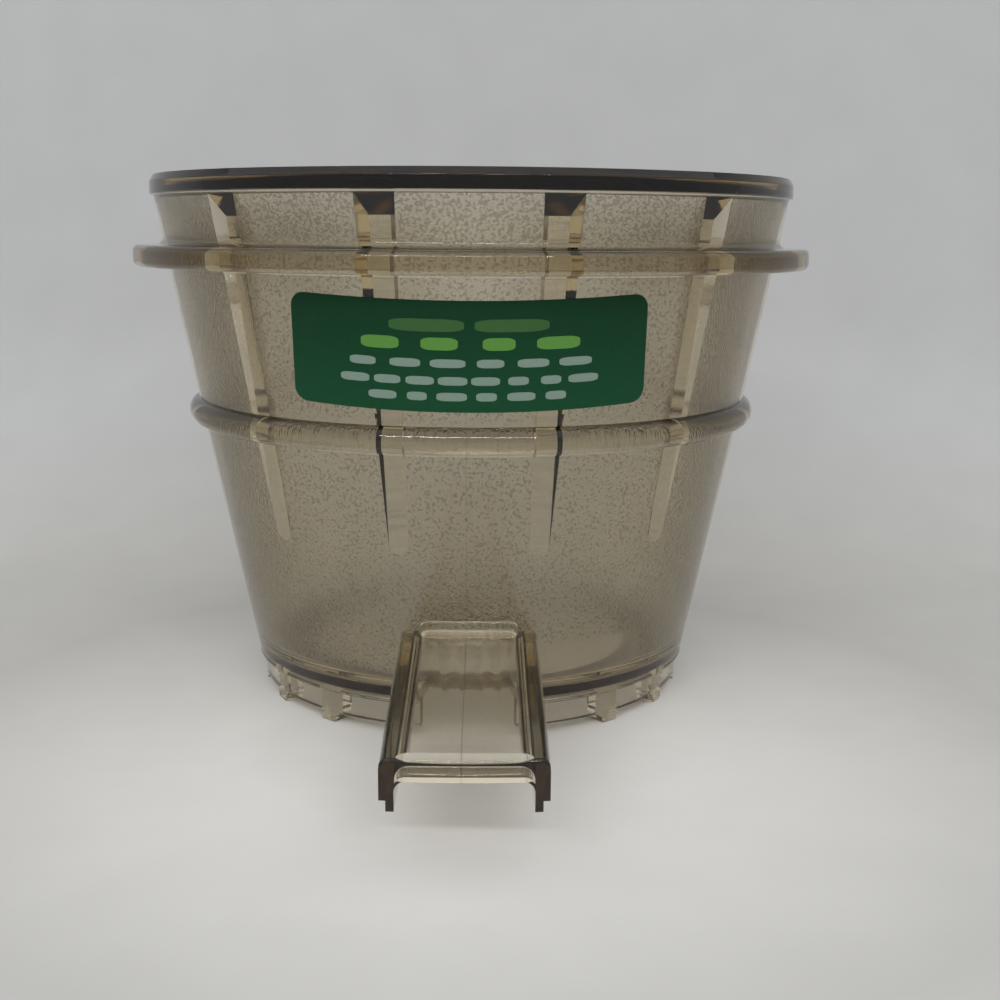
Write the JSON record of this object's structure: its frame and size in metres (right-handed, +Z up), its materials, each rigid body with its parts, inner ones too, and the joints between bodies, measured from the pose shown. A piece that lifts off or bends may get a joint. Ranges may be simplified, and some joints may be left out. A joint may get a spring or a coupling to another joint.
{
  "type": "juicer sorbet strainer",
  "caption": "Tapered see-through plastic bowl with a flange, inner ribs, a floor with a shaft hole and a hooded front spout; it turns frozen fruit to sorbet in an upright juicer.",
  "frame": {"origin": "centre of the shaft hole at the floor's underside", "axes": "+Z up along the bowl's axis, towards its mouth; -Y towards the spout's front; +X to the right seen from the spout"},
  "size_m": [0.14, 0.175, 0.1068],
  "materials": {
    "smoky_plastic": "clear smoky brown, gloss outside, fine grain inside",
    "label_film": "satin printed film"
  },
  "bodies": {
    "root": {"strainer_body": "smoky_plastic", "label": "label_film"}
  },
  "joints": []
}
